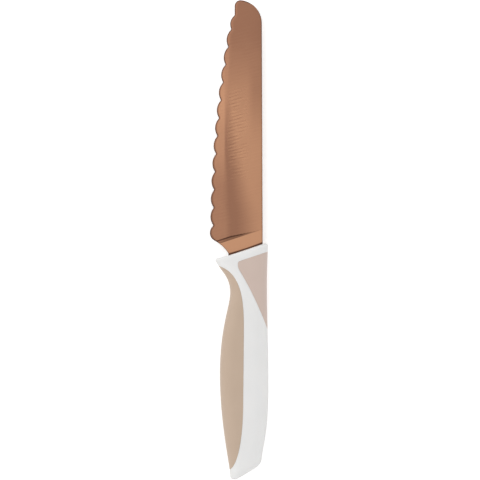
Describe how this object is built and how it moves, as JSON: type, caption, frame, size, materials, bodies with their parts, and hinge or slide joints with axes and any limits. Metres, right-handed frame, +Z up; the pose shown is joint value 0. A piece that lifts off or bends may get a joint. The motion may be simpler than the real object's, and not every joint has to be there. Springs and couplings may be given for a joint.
{
  "type": "child safety knife",
  "caption": "Child's kitchen knife with a round-tipped blade, a blunt scalloped edge and a contoured handle with soft grip pads.",
  "frame": {"origin": "middle of the knife's length and width, on the surface that the handle's flat side lies on", "axes": "+Y along the knife from the butt to the tip, +X from the cutting edge to the spine, +Z up, square to the blade's face"},
  "size_m": [0.0262, 0.2156, 0.0145],
  "materials": {
    "blade_steel": "satin",
    "handle_plastic": "satin",
    "grip_rubber": "matte"
  },
  "bodies": {
    "root": {"blade": "blade_steel", "handle_core": "handle_plastic", "belly_grip": "grip_rubber", "thumb_pad": "grip_rubber"}
  },
  "joints": []
}
